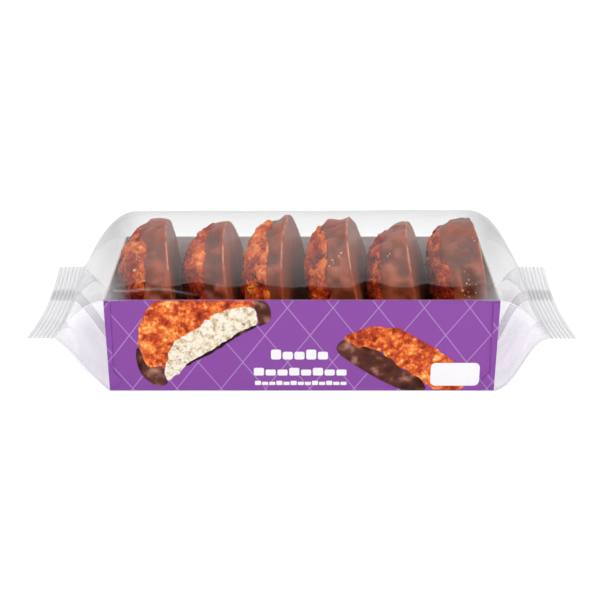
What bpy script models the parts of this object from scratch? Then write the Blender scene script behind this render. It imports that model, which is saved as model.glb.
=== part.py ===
"""A sealed pack of six coconut macaroons: card tray, clear film bag, dipped macaroons.

Units are metres and +Z is up. +X runs along the pack and its printed front faces -Y.
The origin is the middle of the tray's underside. Every macaroon stands on edge in the
tray, with its flat chocolate base towards +X and its coconut dome towards -X.
"""

import math

import bmesh
import bpy
from mathutils import Matrix, Vector, noise

MM = 0.001
GAP = 0.3 * MM

# Card tray
TRAY_LENGTH = 160.0 * MM
TRAY_DEPTH = 69.0 * MM
TRAY_HEIGHT = 41.4 * MM
CARD = 0.6 * MM

# Glue tabs that wrap the tray's upright corners, with an arrow-shaped foot
TAB_WIDTH = 2.6 * MM
TAB_FOOT_WIDTH = 2.0 * MM
TAB_FOOT_HEIGHT = 8.7 * MM
TAB_ARROW_WIDTH = 5.7 * MM
TAB_ARROW_HEIGHT = 4.9 * MM
TAB_TOP_DROP = 1.0 * MM
TAB_PROUD = 0.4 * MM
TAB_LIFT = 0.4 * MM

# Film bag: a hood over the tray, a pillow at each end and a flat crimped seal
FILM_WALL = 0.8 * MM
HOOD_HEIGHT = 23.4 * MM
HOOD_POWER = 1.75
PILLOW_POWER = 2.0
SHOULDER_START = 72.0 * MM
SHOULDER_POWER = 1.85
SEAL_INNER = 100.5 * MM
SEAL_OUTER = 111.9 * MM
SEAL_HEIGHT = 25.4 * MM
SEAL_HALF = 36.8 * MM
SEAL_THICKNESS = 1.1 * MM
SEAL_SAG = 4.5 * MM
FOLD_POWER = 1.8
GUSSET_DEPTH = 20.0 * MM
GUSSET_HEIGHT = 22.0 * MM
FLOOR_LIFT = 0.3 * MM
LEFT_BELLY = 0.15
RIGHT_BELLY = 0.7
ARCH_STEPS = 16
BOTTOM_STEPS = 4
HOOD_STEPS = 6
SHOULDER_STEPS = 3
PILLOW_STEPS = 7
CUTTER_REACH = 5.0 * MM

# Macaroons
COAT = 1.5 * MM
COAT_EDGE = 2.2 * MM
LIP_BULGE = 0.3 * MM
LIP_WAVE = 1.6 * MM
LIP_WAVE_RATE = 2.2
CRAG_HEIGHT = 1.1 * MM
CRAG_SPACING = 5.5 * MM
RIPPLE_HEIGHT = 0.45 * MM
RIPPLE_SPACING = 11.0 * MM
SEGMENTS = 36
UNEVENNESS = 0.008
BODY_RINGS = 7
TRAY_FLOOR = CARD + GAP + 0.1 * MM
PEAK_TURN = math.radians(15.0)
PEAK_SPREAD = math.radians(13.0)

# From left to right. x: middle of the flat base along the tray. turn and lean: of that base,
# in degrees. radius and thick: of the whole piece. band: how far the chocolate reaches up
# the side, and more of it by band_rise at the top. square: how boxy the dome's outline is.
# peak: the height of a pointed tip.
MACAROONS = [
    dict(x=-53.1, turn=-3.2, lean=7.0, radius=30.0, thick=23.0, band=10.0, band_rise=3.5,
         square=2.6, peak=0.0),
    dict(x=-26.7, turn=3.1, lean=10.6, radius=29.4, thick=22.5, band=8.0, band_rise=-1.0,
         square=2.6, peak=0.0),
    dict(x=-2.1, turn=7.8, lean=8.0, radius=30.0, thick=22.0, band=6.5, band_rise=-0.5,
         square=2.3, peak=3.2),
    dict(x=27.4, turn=5.2, lean=15.0, radius=29.8, thick=22.0, band=12.5, band_rise=1.5,
         square=3.4, peak=0.0),
    dict(x=52.4, turn=6.1, lean=15.5, radius=29.0, thick=22.0, band=11.0, band_rise=0.5,
         square=2.7, peak=0.0),
    dict(x=75.5, turn=-2.7, lean=6.0, radius=29.8, thick=18.6, band=14.0, band_rise=0.5,
         square=3.8, peak=0.0),
]


def clear_scene():
    for obj in list(bpy.data.objects):
        bpy.data.objects.remove(obj, do_unlink=True)


def make_material(name, color, roughness, metallic=0.0, alpha=1.0):
    material = bpy.data.materials.new(name)
    material.use_nodes = True
    shader = material.node_tree.nodes["Principled BSDF"]
    shader.inputs["Base Color"].default_value = (*color, 1.0)
    shader.inputs["Roughness"].default_value = roughness
    shader.inputs["Metallic"].default_value = metallic
    shader.inputs["Alpha"].default_value = alpha
    return material


def object_from_bmesh(name, bm, material=None):
    bmesh.ops.recalc_face_normals(bm, faces=bm.faces)
    mesh = bpy.data.meshes.new(name)
    bm.to_mesh(mesh)
    bm.free()
    if material:
        mesh.materials.append(material)
    obj = bpy.data.objects.new(name, mesh)
    bpy.context.scene.collection.objects.link(obj)
    return obj


def shade_round(obj, angle_degrees):
    obj.data.shade_smooth()
    obj.data.set_sharp_from_angle(angle=math.radians(angle_degrees))


def add_box(bm, low, high):
    size = [high[i] - low[i] for i in range(3)]
    middle = [(high[i] + low[i]) / 2 for i in range(3)]
    matrix = Matrix.Translation(middle) @ Matrix.Diagonal((*size, 1.0))
    bmesh.ops.create_cube(bm, size=1.0, matrix=matrix)


def loft(bm, rings, first_tip=None, last_tip=None):
    """Skin a closed body through rings of points; an end without a tip gets a flat cap."""
    rows = [[bm.verts.new(point) for point in ring] for ring in rings]
    count = len(rows[0])
    for lower, upper in zip(rows, rows[1:]):
        for i in range(count):
            j = (i + 1) % count
            bm.faces.new((lower[i], lower[j], upper[j], upper[i]))
    for row, tip in ((rows[0], first_tip), (rows[-1], last_tip)):
        if tip is None:
            bm.faces.new(row)
            continue
        middle = bm.verts.new(tip)
        for i in range(count):
            bm.faces.new((row[i], row[(i + 1) % count], middle))


def combine(target, tool, operation):
    """Apply a Boolean of tool on target and remove the tool."""
    modifier = target.modifiers.new(operation.lower(), "BOOLEAN")
    modifier.operation = operation
    modifier.solver = "EXACT"
    modifier.object = tool
    depsgraph = bpy.context.evaluated_depsgraph_get()
    mesh = bpy.data.meshes.new_from_object(target.evaluated_get(depsgraph))
    target.modifiers.clear()
    target.data = mesh
    bpy.data.objects.remove(tool, do_unlink=True)


# Tray

def tab_outline(side):
    """Outline of one glue tab in X and Z, with side -1 for left and 1 for right."""
    corner = TRAY_LENGTH / 2
    top = TRAY_HEIGHT - TAB_TOP_DROP
    inward = [
        (0.0, TAB_LIFT),
        (TAB_LIFT, TAB_LIFT),
        (TAB_ARROW_WIDTH, TAB_ARROW_HEIGHT),
        (TAB_FOOT_WIDTH, TAB_FOOT_HEIGHT),
        (TAB_WIDTH, top),
        (0.0, top),
    ]
    return [(side * (corner - x), z) for x, z in inward]


def add_tab(tray, side, face):
    """Raise a glue tab on the front (face -1) or the back (face 1) of the tray."""
    outline = tab_outline(side)
    outer = face * (TRAY_DEPTH / 2 + TAB_PROUD)
    inner = face * (TRAY_DEPTH / 2 - CARD / 2)
    bm = bmesh.new()
    loft(bm, [[(x, y, z) for x, z in outline] for y in (inner, outer)])
    combine(tray, object_from_bmesh("tab", bm), "UNION")


def build_tray(material):
    half_length = TRAY_LENGTH / 2
    half_depth = TRAY_DEPTH / 2
    bm = bmesh.new()
    add_box(bm, (-half_length, -half_depth, 0.0), (half_length, half_depth, TRAY_HEIGHT))
    tray = object_from_bmesh("tray", bm, material)
    bm = bmesh.new()
    add_box(
        bm,
        (CARD - half_length, CARD - half_depth, CARD),
        (half_length - CARD, half_depth - CARD, TRAY_HEIGHT + CUTTER_REACH),
    )
    combine(tray, object_from_bmesh("tray_hollow", bm), "DIFFERENCE")
    for side in (-1, 1):
        for face in (-1, 1):
            add_tab(tray, side, face)
    return tray


# Film bag

def arch(half_width, base, top, power):
    """Points of a film arch in Y and Z, from the back foot over the top to the front."""
    points = []
    for step in range(ARCH_STEPS + 1):
        angle = math.pi * step / ARCH_STEPS
        reach = abs(math.cos(angle)) ** (2 / power)
        rise = math.sin(angle) ** (2 / power) if 0 < step < ARCH_STEPS else 0.0
        y = math.copysign(reach * half_width, math.cos(angle))
        points.append((y, base + (top - base) * rise))
    return points


def film_top(x, wall=0.0):
    """Height of the film along the pack's middle, less a wall's thickness."""
    full = TRAY_HEIGHT + HOOD_HEIGHT
    along = (abs(x) + wall - SHOULDER_START) / (SEAL_INNER - SHOULDER_START)
    along = min(max(along, 0.0), 1.0)
    return full - wall - (full - SEAL_HEIGHT) * along ** SHOULDER_POWER


def bag_ring(x):
    """The bag's outline across the pack at x, in Y and Z."""
    half = TRAY_DEPTH / 2 + GAP
    end = TRAY_LENGTH / 2
    run = (abs(x) - end) / (SEAL_INNER - end)
    run = min(max(run, 0.0), 1.0)
    belly = LEFT_BELLY if x < 0 else RIGHT_BELLY
    width = half + (SEAL_HALF - half) * run
    upper = TRAY_HEIGHT - (TRAY_HEIGHT - SEAL_HEIGHT) * run ** FOLD_POWER
    climb = run - belly * math.sin(2 * math.pi * run) / (2 * math.pi)
    lower = FLOOR_LIFT + (SEAL_HEIGHT - FLOOR_LIFT) * climb
    valley_height = GUSSET_HEIGHT + (SEAL_HEIGHT - GUSSET_HEIGHT) * run
    valley = GUSSET_DEPTH * math.sin(math.pi / 2 * run) if run < 1 else 0.0
    power = HOOD_POWER + (PILLOW_POWER - HOOD_POWER) * run
    top = film_top(x)
    if run >= 1:
        upper = top = SEAL_HEIGHT + SEAL_THICKNESS / 2
        lower = SEAL_HEIGHT - SEAL_THICKNESS / 2
    ring = arch(width, upper, top, power)
    ring.append((valley - width, valley_height))
    for step in range(BOTTOM_STEPS + 1):
        ring.append((width * (2 * step / BOTTOM_STEPS - 1), lower))
    ring.append((width - valley, valley_height))
    sag = SEAL_SAG * run ** 2
    return [(y, z - sag * (1.0 - (y / width) ** 2)) for y, z in ring]


def hood_ring(x):
    """The hollow's outline under the hood at x, open towards the tray."""
    half = TRAY_DEPTH / 2 + GAP - FILM_WALL
    ring = arch(half, TRAY_HEIGHT, film_top(x, FILM_WALL), HOOD_POWER)
    floor = TRAY_HEIGHT - CUTTER_REACH
    ring.append((-half, floor))
    ring.append((half, floor))
    return ring


def spread(start, stop, steps):
    return [start + (stop - start) * i / steps for i in range(steps + 1)]


def mirrored(stations):
    return [-x for x in reversed(stations)] + stations


def bag_stations():
    """Places of the bag's rings along X, from the left seal to the right one."""
    end = TRAY_LENGTH / 2
    hood = spread(0.0, SHOULDER_START, HOOD_STEPS)[1:]
    shoulder = spread(SHOULDER_START, end, SHOULDER_STEPS)[1:]
    pillow = spread(end, SEAL_INNER, PILLOW_STEPS)[1:]
    return mirrored(hood + shoulder + pillow + [SEAL_OUTER])


def build_bag(material):
    bm = bmesh.new()
    loft(bm, [[(x, y, z) for y, z in bag_ring(x)] for x in bag_stations()])
    bag = object_from_bmesh("film_bag", bm, material)

    half_length = TRAY_LENGTH / 2 + GAP
    bm = bmesh.new()
    add_box(
        bm,
        (-half_length, -TRAY_DEPTH, -CUTTER_REACH),
        (half_length, TRAY_DEPTH, TRAY_HEIGHT + GAP),
    )
    combine(bag, object_from_bmesh("tray_space", bm), "DIFFERENCE")

    end = TRAY_LENGTH / 2 - CARD
    hood = spread(0.0, SHOULDER_START, HOOD_STEPS)[1:]
    shoulder = spread(SHOULDER_START, end, SHOULDER_STEPS)[1:]
    bm = bmesh.new()
    stations = mirrored(hood + shoulder)
    loft(bm, [[(x, y, z) for y, z in hood_ring(x)] for x in stations])
    combine(bag, object_from_bmesh("hood_hollow", bm), "DIFFERENCE")
    bag.data.materials.clear()
    bag.data.materials.append(material)
    shade_round(bag, 30.0)
    return bag


# Macaroons

def outline(size, angle, share=0.0):
    """Radius at an angle from the top towards the back, for a share of the thickness.

    A pointed tip stands at the flat base and fades along the thickness.
    """
    turned = (angle - PEAK_TURN + math.pi) % (2 * math.pi) - math.pi
    tip = size["peak"] * MM * math.exp(-((turned / PEAK_SPREAD) ** 2)) * (1.0 - share) ** 2
    uneven = 1.0 + UNEVENNESS * math.sin(2 * angle + size["x"])
    return size["radius"] * MM * uneven + tip


def shell_radius(size, angle, height):
    """Outer radius at a height over the flat base."""
    share = min(height / (size["thick"] * MM), 1.0)
    power = size["square"]
    return outline(size, angle, share) * (1.0 - share ** power) ** (1 / power)


def lip_height(size, angle):
    """How far the chocolate reaches up the side at an angle."""
    ring = Vector((math.cos(angle), math.sin(angle), size["x"]))
    wave = noise.noise(ring * LIP_WAVE_RATE)
    rise = size["band_rise"] * math.cos(angle)
    return (size["band"] + rise) * MM + LIP_WAVE * wave


def rest_height(size):
    """Height of the base's middle, so that the leaning piece stands on the tray."""
    lean = math.radians(size["lean"])
    lowest = 0.0
    steps = 60
    for step in range(steps + 1):
        height = size["thick"] * MM * step / steps
        reach = shell_radius(size, math.pi, height)
        lowest = max(lowest, height * math.sin(lean) + reach * math.cos(lean))
    return TRAY_FLOOR + lowest


def placement(size):
    """World matrix with local X up the base, local Y to the back, local Z out of the dome."""
    turn = math.radians(size["turn"])
    lean = math.radians(size["lean"])
    facing = Vector((
        math.cos(lean) * math.cos(turn),
        -math.cos(lean) * math.sin(turn),
        math.sin(lean),
    ))
    back = Vector((math.sin(turn), math.cos(turn), 0.0))
    up = facing.cross(back)
    matrix = Matrix((up, back, -facing)).transposed().to_4x4()
    matrix.translation = (size["x"] * MM, 0.0, rest_height(size))
    return matrix


def bumps(point, spacing, seed):
    spot = point / spacing + Vector((seed, 0.0, 0.0))
    return noise.noise(spot) + 0.5 * noise.noise(spot * 2.1)


def ring_of(shape):
    """A ring of points from shape(angle), which gives a radius and a height."""
    ring = []
    for i in range(SEGMENTS):
        angle = 2 * math.pi * i / SEGMENTS
        radius, height = shape(angle)
        ring.append(Vector((radius * math.cos(angle), radius * math.sin(angle), height)))
    return ring


def coat_ring(size, inset, share, base):
    """A ring on the coat, at a share of the way from the base's edge to the lip."""
    def shape(angle):
        height = base + COAT_EDGE + (lip_height(size, angle) - base - COAT_EDGE) * share
        return shell_radius(size, angle, height) - inset, height
    return ring_of(shape)


def base_ring(size, inset, height):
    return ring_of(lambda angle: (outline(size, angle) - inset, height))


def ripple(size, ring):
    """Push a ring of the coat outwards in soft ripples."""
    moved = []
    for point in ring:
        out = Vector((point.x, point.y, 0.0)).normalized()
        push = 0.5 + 0.5 * bumps(point, RIPPLE_SPACING, size["x"])
        moved.append(point + out * RIPPLE_HEIGHT * max(push, 0.0))
    return moved


def build_coat(index, size, material):
    """The chocolate cup: base, rounded edge, side, wavy lip, and the same way back inside."""
    corner = COAT_EDGE * (1.0 - math.cos(math.pi / 4))
    rings = [
        base_ring(size, size["radius"] * MM * 0.5, 0.0),
        base_ring(size, COAT_EDGE, 0.0),
        base_ring(size, corner, corner),
        ripple(size, coat_ring(size, 0.0, 0.0, 0.0)),
        ripple(size, coat_ring(size, 0.0, 0.5, 0.0)),
        ripple(size, coat_ring(size, 0.0, 1.0, 0.0)),
    ]
    lip = coat_ring(size, COAT / 2, 1.0, 0.0)
    rings.append([point + Vector((0.0, 0.0, LIP_BULGE)) for point in lip])
    rings += [
        coat_ring(size, COAT, 1.0, 0.0),
        coat_ring(size, COAT, 0.5, COAT),
        coat_ring(size, COAT, 0.0, COAT),
        base_ring(size, COAT_EDGE + COAT, COAT),
    ]
    bm = bmesh.new()
    loft(bm, rings, first_tip=(0.0, 0.0, 0.0), last_tip=(0.0, 0.0, COAT))
    coat = object_from_bmesh(f"chocolate_{index}", bm, material)
    coat.matrix_world = placement(size)
    shade_round(coat, 50.0)
    return coat


def core_ring(size, share):
    """A ring of the body inside the coat, clear of it by the gap."""
    base = COAT + GAP
    inset = COAT + 2 * GAP

    def shape(angle):
        top = lip_height(size, angle) + LIP_BULGE + GAP
        height = base + COAT_EDGE + (top - base - COAT_EDGE) * share
        return shell_radius(size, angle, height) - inset, height
    return ring_of(shape)


def dome_ring(size, share):
    """A craggy ring of the dome, at a share of the turn from the lip to the tip."""
    power = size["square"]
    thick = size["thick"] * MM

    def shape(angle):
        start = lip_height(size, angle) + LIP_BULGE + GAP
        lift = math.asin(min(start / thick, 1.0) ** (power / 2))
        turn = lift + (math.pi / 2 - lift) * share
        height = thick * math.sin(turn) ** (2 / power)
        radius = outline(size, angle, height / thick) * math.cos(turn) ** (2 / power)
        return radius, height
    return ring_of(shape)


def roughen(size, ring):
    """Push the dome's points out or in, along the way from the piece's middle."""
    moved = []
    for point in ring:
        out = Vector((point.x, point.y, 0.0)).normalized()
        push = CRAG_HEIGHT * bumps(point, CRAG_SPACING, size["x"])
        moved.append(point + out * push)
    return moved


def build_body(index, size, material):
    """The coconut body: a plain core inside the coat and a craggy dome beyond it."""
    base = COAT + GAP
    rings = [base_ring(size, COAT_EDGE + COAT + 2 * GAP, base)]
    rings += [core_ring(size, share) for share in (0.0, 1.0)]
    rings += [roughen(size, dome_ring(size, i / BODY_RINGS)) for i in range(BODY_RINGS)]
    bm = bmesh.new()
    tip = (0.0, 0.0, size["thick"] * MM)
    loft(bm, rings, first_tip=(0.0, 0.0, base), last_tip=tip)
    body = object_from_bmesh(f"macaroon_{index}", bm, material)
    body.matrix_world = placement(size)
    shade_round(body, 60.0)
    return body


def main():
    clear_scene()
    card = make_material("printed_card", (0.27, 0.075, 0.38), 0.45)
    film = make_material("clear_film", (0.85, 0.85, 0.87), 0.12, alpha=0.3)
    coconut = make_material("baked_coconut", (0.55, 0.21, 0.05), 0.75)
    chocolate = make_material("milk_chocolate", (0.14, 0.045, 0.02), 0.35)
    build_tray(card)
    build_bag(film)
    for index, size in enumerate(MACAROONS, start=1):
        build_body(index, size, coconut)
        build_coat(index, size, chocolate)


main()
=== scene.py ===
"""Looks of a sealed pack of coconut macaroons: printed tray, dipped macaroons, clear film.

Lengths are metres unless a comment says millimetres. The macaroons' places, sizes and
chocolate lips are measured on the frame's solids, and the film follows its solid's outline.
"""
import math

import bmesh
import bpy
import numpy as np
from mathutils import Matrix, Vector


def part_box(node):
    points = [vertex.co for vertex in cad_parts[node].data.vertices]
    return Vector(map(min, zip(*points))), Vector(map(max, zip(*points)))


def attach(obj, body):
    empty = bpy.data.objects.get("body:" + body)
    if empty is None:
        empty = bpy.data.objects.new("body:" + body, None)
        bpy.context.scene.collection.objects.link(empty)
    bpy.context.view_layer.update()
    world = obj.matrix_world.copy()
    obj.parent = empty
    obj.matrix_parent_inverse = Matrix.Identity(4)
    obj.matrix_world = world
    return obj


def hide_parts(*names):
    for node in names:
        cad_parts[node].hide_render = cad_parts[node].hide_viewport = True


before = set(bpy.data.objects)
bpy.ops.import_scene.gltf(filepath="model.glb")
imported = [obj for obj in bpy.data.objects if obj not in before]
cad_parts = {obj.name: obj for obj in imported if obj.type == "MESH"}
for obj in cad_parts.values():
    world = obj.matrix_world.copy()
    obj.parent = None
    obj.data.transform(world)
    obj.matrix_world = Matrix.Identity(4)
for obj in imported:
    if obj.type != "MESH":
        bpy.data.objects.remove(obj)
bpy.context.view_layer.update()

MM = 0.001
SEED = 7

# Tray, from the frame
TRAY_LOW, TRAY_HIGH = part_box("tray")
TRAY_HALF = TRAY_HIGH[0]
TRAY_TOP = TRAY_HIGH[2]
TAB_PROUD = 0.4 * MM
TRAY_FRONT = TRAY_LOW[1] + TAB_PROUD
CARD = 0.6 * MM

# Film, with the outline of its solid
BAG_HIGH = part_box("film_bag")[1]
SEAL_OUTER = BAG_HIGH[0]
SEAL_INNER = SEAL_OUTER - 11.4 * MM
SEAL_HALF = BAG_HIGH[1]
SEAL_HEIGHT = 25.4 * MM
SEAL_SAG = 4.5 * MM
HOOD_TOP = BAG_HIGH[2]
HOOD_POWER = 1.75
PILLOW_POWER = 2.0
SHOULDER_START = 72.0 * MM
SHOULDER_POWER = 1.85
FOLD_POWER = 1.8
FILM_CLEAR = 0.08 * MM
FILM_HALF = -TRAY_LOW[1] + FILM_CLEAR
GUSSET_DEPTH = 24.0 * MM
GUSSET_POWER = 2.4
GUSSET_HEIGHT = 22.0 * MM
LEFT_BELLY = 0.15
RIGHT_BELLY = 0.7
LAYER_STEP = 0.05 * MM
CRIMP_PITCH = 1.75 * MM
CRIMP_HEIGHT = 0.14 * MM
CRIMP_COUNT = 6.45
SCALLOP_START = -7.6 * MM
SCALLOP_PITCH = 23.0 * MM
SEAM_WIDTH = 9.0 * MM
SEAM_START = -3.5 * MM
SEAM_DRIFT = 13.5 * MM
SEAM_DROP = 0.1 * MM
SEAM_THICK = 0.04 * MM

# Camera, solved from the tray's corners in the photo
CAMERA_PLACE = (-0.00077, -0.4724, 0.2458)
CAMERA_TILT = 65.0
CAMERA_LENS = 72.0
FLOOR_DROP = 0.35 * MM
FLOOR_REACH = 6.0
LIGHT_TARGET = (0.0, 0.0, 0.03)

# Brightness of the surroundings, from straight down (0) past the horizon (0.5) to overhead (1)
SKY_FRONT = ((0.0, 0.01), (0.5, 0.01), (0.785, 0.03), (0.815, 1.4), (0.87, 1.1), (1.0, 1.9))
SKY_BACK = ((0.0, 0.95), (0.5, 0.95), (0.7, 0.95), (0.9, 1.0), (1.0, 1.9))


# Repeatable noise for whole arrays of points. The last value passed to it is its seed.

def hashed(cells, seed):
    """A repeatable value from 0 to 1 for each row of whole-number coordinates."""
    cells = cells.astype(np.int64)
    mixed = cells[..., 0] * 73856093 ^ cells[..., 1] * 19349663 ^ cells[..., 2] * 83492791
    mixed = (mixed ^ (seed * 2654435761)) & 0xFFFFFFFF
    for _ in range(2):
        mixed = ((mixed ^ (mixed >> 15)) * 2246822519) & 0xFFFFFFFF
        mixed = ((mixed ^ (mixed >> 13)) * 3266489917) & 0xFFFFFFFF
    return (mixed ^ (mixed >> 16)) / 4294967295.0


def soft_noise(points, spacing, seed):
    """Smooth noise from -1 to 1 with bumps about spacing apart."""
    spots = np.asarray(points) / spacing
    cells = np.floor(spots)
    part = spots - cells
    ease = part * part * part * (part * (part * 6.0 - 15.0) + 10.0)
    total = np.zeros(spots.shape[:-1])
    for corner in range(8):
        step = np.array([corner & 1, corner >> 1 & 1, corner >> 2 & 1])
        weight = np.prod(np.where(step, ease, 1.0 - ease), axis=-1)
        total += weight * hashed(cells + step, seed)
    return 2.0 * total - 1.0


def cell_noise(points, spacing, seed):
    """Distance to the nearest of scattered centres, as a share of spacing, and its value."""
    spots = np.asarray(points) / spacing
    cells = np.floor(spots)
    nearest = np.full(spots.shape[:-1], 9.0)
    value = np.zeros(spots.shape[:-1])
    for step in np.ndindex(3, 3, 3):
        cell = cells + np.array(step) - 1.0
        centre = cell + np.stack([hashed(cell, seed + n) for n in (1, 2, 3)], axis=-1)
        gap = np.linalg.norm(spots - centre, axis=-1)
        closer = gap < nearest
        nearest = np.where(closer, gap, nearest)
        value = np.where(closer, hashed(cell, seed + 4), value)
    return nearest, value


def smooth_step(low, high, values):
    """0 at low and 1 at high, with a smooth rise or fall between them."""
    share = np.clip((values - low) / (high - low), 0.0, 1.0)
    return share * share * (3.0 - 2.0 * share)


def bell(values, middle, width):
    """1 at the middle, fading to 0 on both sides."""
    return np.exp(-((values - middle) / width) ** 2)


# Meshes

def add_object(name, data):
    added = bpy.data.objects.new(name, data)
    bpy.context.scene.collection.objects.link(added)
    return added


def mesh_object(name, verts, faces, material, smooth=True, fields=None):
    """A mesh from arrays, with named values on its points, 0 on the points they leave out."""
    mesh = bpy.data.meshes.new(name)
    mesh.from_pydata(np.asarray(verts).tolist(), [], faces)
    for key, values in (fields or {}).items():
        values = np.ravel(values).astype(np.float32)
        layer = mesh.attributes.new(key, "FLOAT", "POINT")
        layer.data.foreach_set("value", np.pad(values, (0, len(verts) - len(values))))
    mesh.materials.append(material)
    mesh.polygons.foreach_set("use_smooth", [smooth] * len(mesh.polygons))
    mesh.update()
    return add_object(name, mesh)


def grid_faces(rows, columns):
    """Quads between rows of points, where every row is a closed loop."""
    row, column = np.meshgrid(np.arange(rows - 1), np.arange(columns), indexing="ij")
    after = (column + 1) % columns
    quads = [row * columns + column, row * columns + after,
             (row + 1) * columns + after, (row + 1) * columns + column]
    return np.stack(quads, axis=-1).reshape(-1, 4).tolist()


def tube_faces(rows, columns):
    """The grid's quads, closed with one flat face at each end."""
    last = (rows - 1) * columns
    ends = [list(range(columns))[::-1], list(range(last, last + columns))]
    return grid_faces(rows, columns) + ends


def domed_faces(rows, columns):
    """The grid's quads, closed with fans to two points that follow it: first row, last row."""
    column = np.arange(columns)
    after = (column + 1) % columns
    count = rows * columns
    last = count - columns
    first_fan = np.stack([np.full(columns, count), after, column], axis=-1)
    last_fan = np.stack([last + column, last + after, np.full(columns, count + 1)], axis=-1)
    return grid_faces(rows, columns) + first_fan.tolist() + last_fan.tolist()


def ring_angles(count):
    """Angles of a closed ring's points, as one row."""
    return (2 * np.pi * np.arange(count) / count)[None, :]


def polar(reach, angle, height):
    """Points at a radius, angle and height, stretched to one shape."""
    parts = np.broadcast_arrays(reach * np.cos(angle), reach * np.sin(angle), height)
    return np.stack(parts, axis=-1)


def reach_and_angle(points):
    return np.hypot(points[..., 0], points[..., 1]), np.arctan2(points[..., 1], points[..., 0])


def moved(points, matrix):
    """Points carried through a 4 by 4 matrix."""
    matrix = np.array(matrix)
    return points @ matrix[:3, :3].T + matrix[:3, 3]


def grid_normals(points):
    """Unit normals of a grid of points whose rows are closed loops."""
    along = np.gradient(points, axis=0)
    around = np.roll(points, -1, axis=1) - np.roll(points, 1, axis=1)
    normals = np.cross(around, along)
    return normals / np.maximum(np.linalg.norm(normals, axis=-1, keepdims=True), 1e-12)


# Materials

class Nodes:
    """Short calls that add shader nodes to a new material, or to a new world."""

    def __init__(self, name, store=bpy.data.materials):
        self.owner = store.new(name)
        self.owner.use_nodes = True
        self.tree = self.owner.node_tree
        self.shader = self.tree.nodes.get("Principled BSDF")

    def add(self, kind, inputs=None, **settings):
        """A new shader node, with values or sockets for its inputs."""
        node = self.tree.nodes.new("ShaderNode" + kind)
        for key, value in settings.items():
            setattr(node, key, value)
        for key, value in (inputs or {}).items():
            self.set(node.inputs[key], value)
        return node

    def set(self, socket, value):
        if isinstance(value, bpy.types.NodeSocket):
            self.tree.links.new(value, socket)
        else:
            socket.default_value = value

    def math(self, operation, *values, clamp=False):
        node = self.add("Math", operation=operation, use_clamp=clamp)
        for socket, value in zip(node.inputs, values):
            self.set(socket, value)
        return node.outputs[0]

    def times(self, value, factor, clamp=False):
        return self.math("MULTIPLY", value, factor, clamp=clamp)

    def scaled(self, value, factor, shift):
        """A value times a factor, plus a shift."""
        return self.math("MULTIPLY_ADD", value, factor, shift)

    def mix(self, share, first, second):
        node = self.add("Mix", data_type="RGBA")
        self.set(node.inputs["Factor"], share)
        self.set(node.inputs["A"], first)
        self.set(node.inputs["B"], second)
        return node.outputs["Result"]

    def ramp(self, value, stops):
        node = self.add("ValToRGB")
        ramp = node.color_ramp
        while len(ramp.elements) < len(stops):
            ramp.elements.new(0.5)
        for element, (place, color) in zip(ramp.elements, stops):
            element.position = place
            element.color = (*color, 1.0)
        self.set(node.inputs[0], value)
        return node.outputs["Color"]

    def noise(self, vector, scale, detail=3.0, roughness=0.55):
        node = self.add("TexNoise", {"Vector": vector, "Scale": scale, "Detail": detail,
                                     "Roughness": roughness})
        return node.outputs["Fac"]

    def beyond(self, value, limit):
        """1 where a value is further from 0 than the limit, 0 elsewhere."""
        return self.math("GREATER_THAN", self.math("ABSOLUTE", value), limit)

    def cells(self, vector, scale):
        node = self.add("TexVoronoi", {"Vector": vector, "Scale": scale})
        return node.outputs["Distance"]

    def place(self):
        return self.add("TexCoord").outputs["Object"]

    def field(self, name):
        return self.add("Attribute", attribute_name=name).outputs["Fac"]

    def bump(self, height, strength, distance):
        node = self.add("Bump", {"Height": height, "Strength": strength, "Distance": distance})
        return node.outputs["Normal"]

    def finish(self, **values):
        for key, value in values.items():
            self.set(self.shader.inputs[key.replace("_", " ")], value)
        return self.owner


def rgb(red, green, blue):
    """An sRGB colour of 0 to 255 as linear values."""
    linear = []
    for part in (red, green, blue):
        share = part / 255.0
        linear.append(share / 12.92 if share <= 0.04045 else ((share + 0.055) / 1.055) ** 2.4)
    return tuple(linear)


def solid(color):
    """A colour with full alpha."""
    return (*color, 1.0)


# Printed card

LATTICE_WIDTH = 18.45 * MM
LATTICE_HEIGHT = 24.8 * MM
LATTICE_X = 3.35 * MM
LATTICE_Z = 0.9 * MM
LATTICE_LINE = 0.19 * MM
TAB_SHIFT_X = 7.0 * MM
TAB_SHIFT_Z = 9.0 * MM
PURPLE = rgb(145, 75, 170)
LILAC = rgb(184, 142, 204)
PRINT_ROUGHNESS = 0.36
# Noise, as scale, detail and roughness, and the colours of its ramp
CRUMB_NOISE = (380.0, 8.0, 0.78)
CRUMB_STOPS = ((0.36, (150, 108, 66)), (0.43, (212, 186, 144)), (0.52, (248, 241, 224)))
DIP_NOISE = (170.0, 3.0, 0.5)
DIP_STOPS = ((0.36, (62, 27, 20)), (0.54, (104, 54, 42)), (0.72, (190, 132, 114)))


def lattice(nodes, across, up):
    """1 on the thin crossing lines of a diamond lattice, 0 between them."""
    steep = math.hypot(1.0 / LATTICE_WIDTH, 1.0 / LATTICE_HEIGHT)
    x = nodes.math("DIVIDE", nodes.math("SUBTRACT", across, LATTICE_X), LATTICE_WIDTH)
    z = nodes.math("DIVIDE", nodes.math("SUBTRACT", up, LATTICE_Z), LATTICE_HEIGHT)
    lines = []
    for operation in ("ADD", "SUBTRACT"):
        place = nodes.math(operation, x, z)
        away = nodes.math("ABSOLUTE", nodes.math("SUBTRACT", place, nodes.math("ROUND", place)))
        lines.append(nodes.math("LESS_THAN", away, LATTICE_LINE * steep))
    return nodes.math("MAXIMUM", *lines)


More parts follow.
